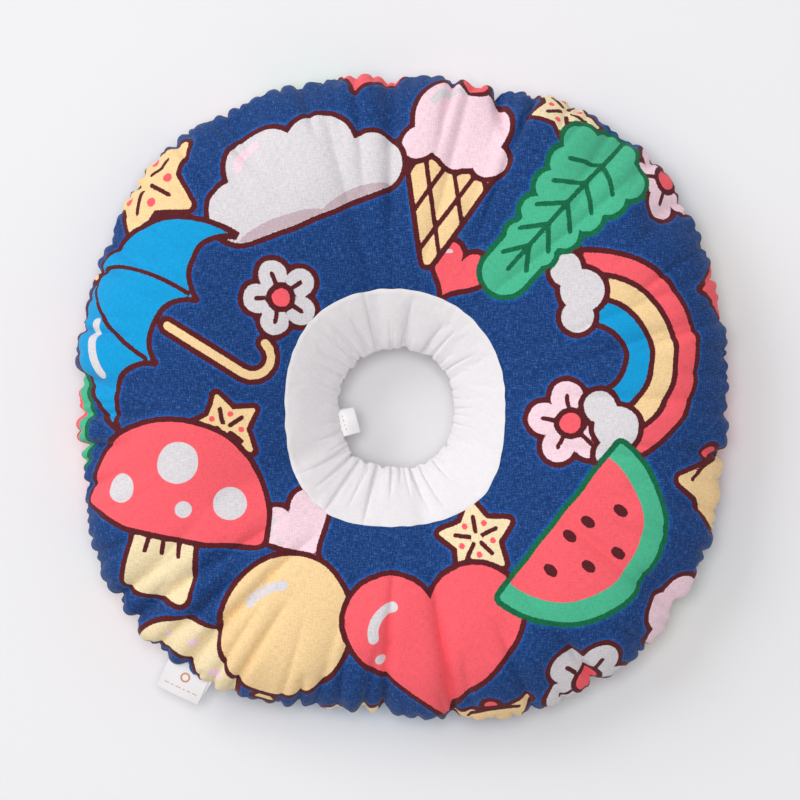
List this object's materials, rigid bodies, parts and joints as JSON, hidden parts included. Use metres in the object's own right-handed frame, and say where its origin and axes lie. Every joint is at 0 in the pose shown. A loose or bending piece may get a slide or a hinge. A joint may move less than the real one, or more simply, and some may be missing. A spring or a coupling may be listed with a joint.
{
  "type": "cat recovery collar",
  "caption": "Soft stuffed ring collar that a cat wears round its neck, with a printed cotton front and back cover and a gathered elastic neck band.",
  "frame": {"origin": "middle of the collar's outline, on the surface that it lies on", "axes": "+Z out of the front cover, along the opening; +Y to the top of the pictured view; +X to its right"},
  "size_m": [0.2986, 0.295, 0.0499],
  "materials": {
    "printed_cotton": "matt plain-weave cotton, printed navy with coloured motifs",
    "plain_cotton": "matt white cotton",
    "wadding": "loose white polyester fibre",
    "satin_ribbon": "soft satin ribbon"
  },
  "bodies": {
    "root": {"front_cover": "printed_cotton", "back_cover": "printed_cotton", "fibre_filling": "wadding", "neck_band": "plain_cotton", "size_label": "satin_ribbon", "care_label": "satin_ribbon"}
  },
  "joints": []
}
